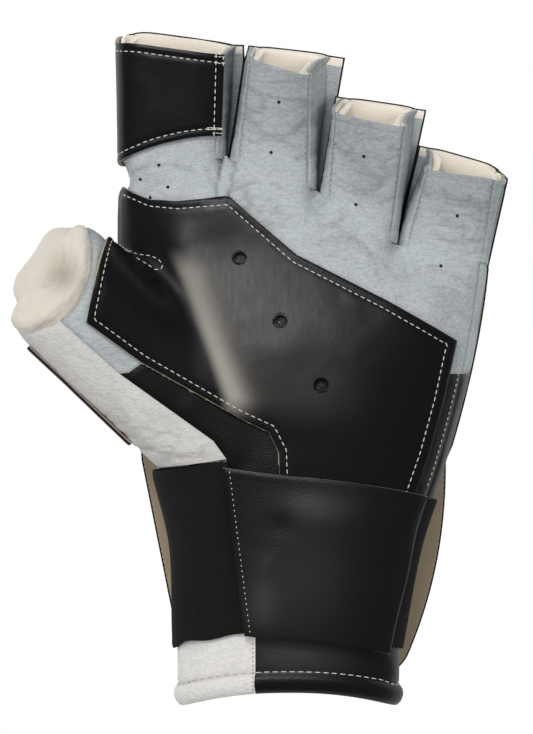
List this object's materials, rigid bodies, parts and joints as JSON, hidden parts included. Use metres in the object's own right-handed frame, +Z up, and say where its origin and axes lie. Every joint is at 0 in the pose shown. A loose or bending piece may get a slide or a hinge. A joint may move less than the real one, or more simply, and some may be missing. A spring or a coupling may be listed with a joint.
{
  "type": "rifle shooting glove",
  "caption": "Left-hand rifle shooting glove with half-length fingers, a grip pad over the palm, an elastic wrist with a closing strap and a stiff back, lying palm up.",
  "frame": {"origin": "on the flat underside of the stiff back, under the middle of the hand, where the glove rests", "axes": "+X across the hand to the little finger, +Y from the cuff to the fingertips, +Z up through the palm"},
  "size_m": [0.1659, 0.225, 0.0485],
  "materials": {
    "grey_leather": "soft grained",
    "black_leather": "grained",
    "grip_leather": "smooth, slightly tacky",
    "white_leather": "grained",
    "fleece": "brushed pile",
    "suede": "suede",
    "foam": "soft foam",
    "webbing": "woven"
  },
  "bodies": {
    "hand": {"palm_leather": "grey_leather", "palm_side_wall": "grey_leather", "heel_side_wall": "black_leather", "heel_leather": "black_leather", "thenar_leather": "white_leather", "thenar_underside": "black_leather", "palm_grip_pad": "grip_leather", "palm_foam": "foam", "hand_lining": "fleece", "wrist_elastic": "webbing", "strap_loop_tape": "webbing", "cuff_white_panel": "white_leather", "cuff_black_panel": "black_leather", "cuff_lining": "fleece", "back_shell": "black_leather", "shell_suede": "suede"},
    "index_finger": {"index_front_leather": "grey_leather", "index_right_gusset": "grey_leather", "index_back_leather": "black_leather", "index_lining": "fleece", "index_grip_patch": "grip_leather"},
    "middle_finger": {"middle_front_leather": "grey_leather", "middle_left_gusset": "grey_leather", "middle_right_gusset": "grey_leather", "middle_back_leather": "black_leather", "middle_lining": "fleece"},
    "ring_finger": {"ring_front_leather": "grey_leather", "ring_left_gusset": "grey_leather", "ring_right_gusset": "grey_leather", "ring_back_leather": "black_leather", "ring_lining": "fleece"},
    "little_finger": {"little_front_leather": "grey_leather", "little_left_gusset": "grey_leather", "little_outer_gusset": "grey_leather", "little_back_leather": "black_leather", "little_lining": "fleece"},
    "thumb": {"thumb_side_leather": "white_leather", "thumb_front_leather": "grey_leather", "thumb_underside": "black_leather", "thumb_lining": "fleece", "thumb_back_strip": "black_leather"},
    "strap": {"wrist_strap": "black_leather", "strap_hook_tape": "webbing"}
  },
  "joints": [
    {"name": "index_flex", "type": "hinge", "parent": "hand", "child": "index_finger", "pos_m": [-0.03, 0.07, 0.0265], "axis": [0.9998, -0.0174, 0], "range_deg": [0, 45], "stiffness_Nm_per_rad": 0.02},
    {"name": "middle_flex", "type": "hinge", "parent": "hand", "child": "middle_finger", "pos_m": [0.00265, 0.06, 0.0288], "axis": [0.9936, -0.1132, 0], "range_deg": [0, 45], "stiffness_Nm_per_rad": 0.02},
    {"name": "ring_flex", "type": "hinge", "parent": "hand", "child": "ring_finger", "pos_m": [0.03141, 0.044, 0.0286], "axis": [0.989, -0.1478, 0], "range_deg": [0, 45], "stiffness_Nm_per_rad": 0.02},
    {"name": "little_flex", "type": "hinge", "parent": "hand", "child": "little_finger", "pos_m": [0.06068, 0.0385, 0.0258], "axis": [0.9781, -0.2079, 0], "range_deg": [0, 45], "stiffness_Nm_per_rad": 0.02},
    {"name": "thumb_flex", "type": "hinge", "parent": "hand", "child": "thumb", "pos_m": [-0.0525, 0.046, 0.03], "axis": [0, 0, -1], "range_deg": [0, 25], "stiffness_Nm_per_rad": 0.03},
    {"name": "strap_peel", "type": "hinge", "parent": "hand", "child": "strap", "pos_m": [-0.00961, -0.06, 0.0443], "axis": [0.1297, -0.9912, 0.0264], "range_deg": [0, 110]}
  ]
}
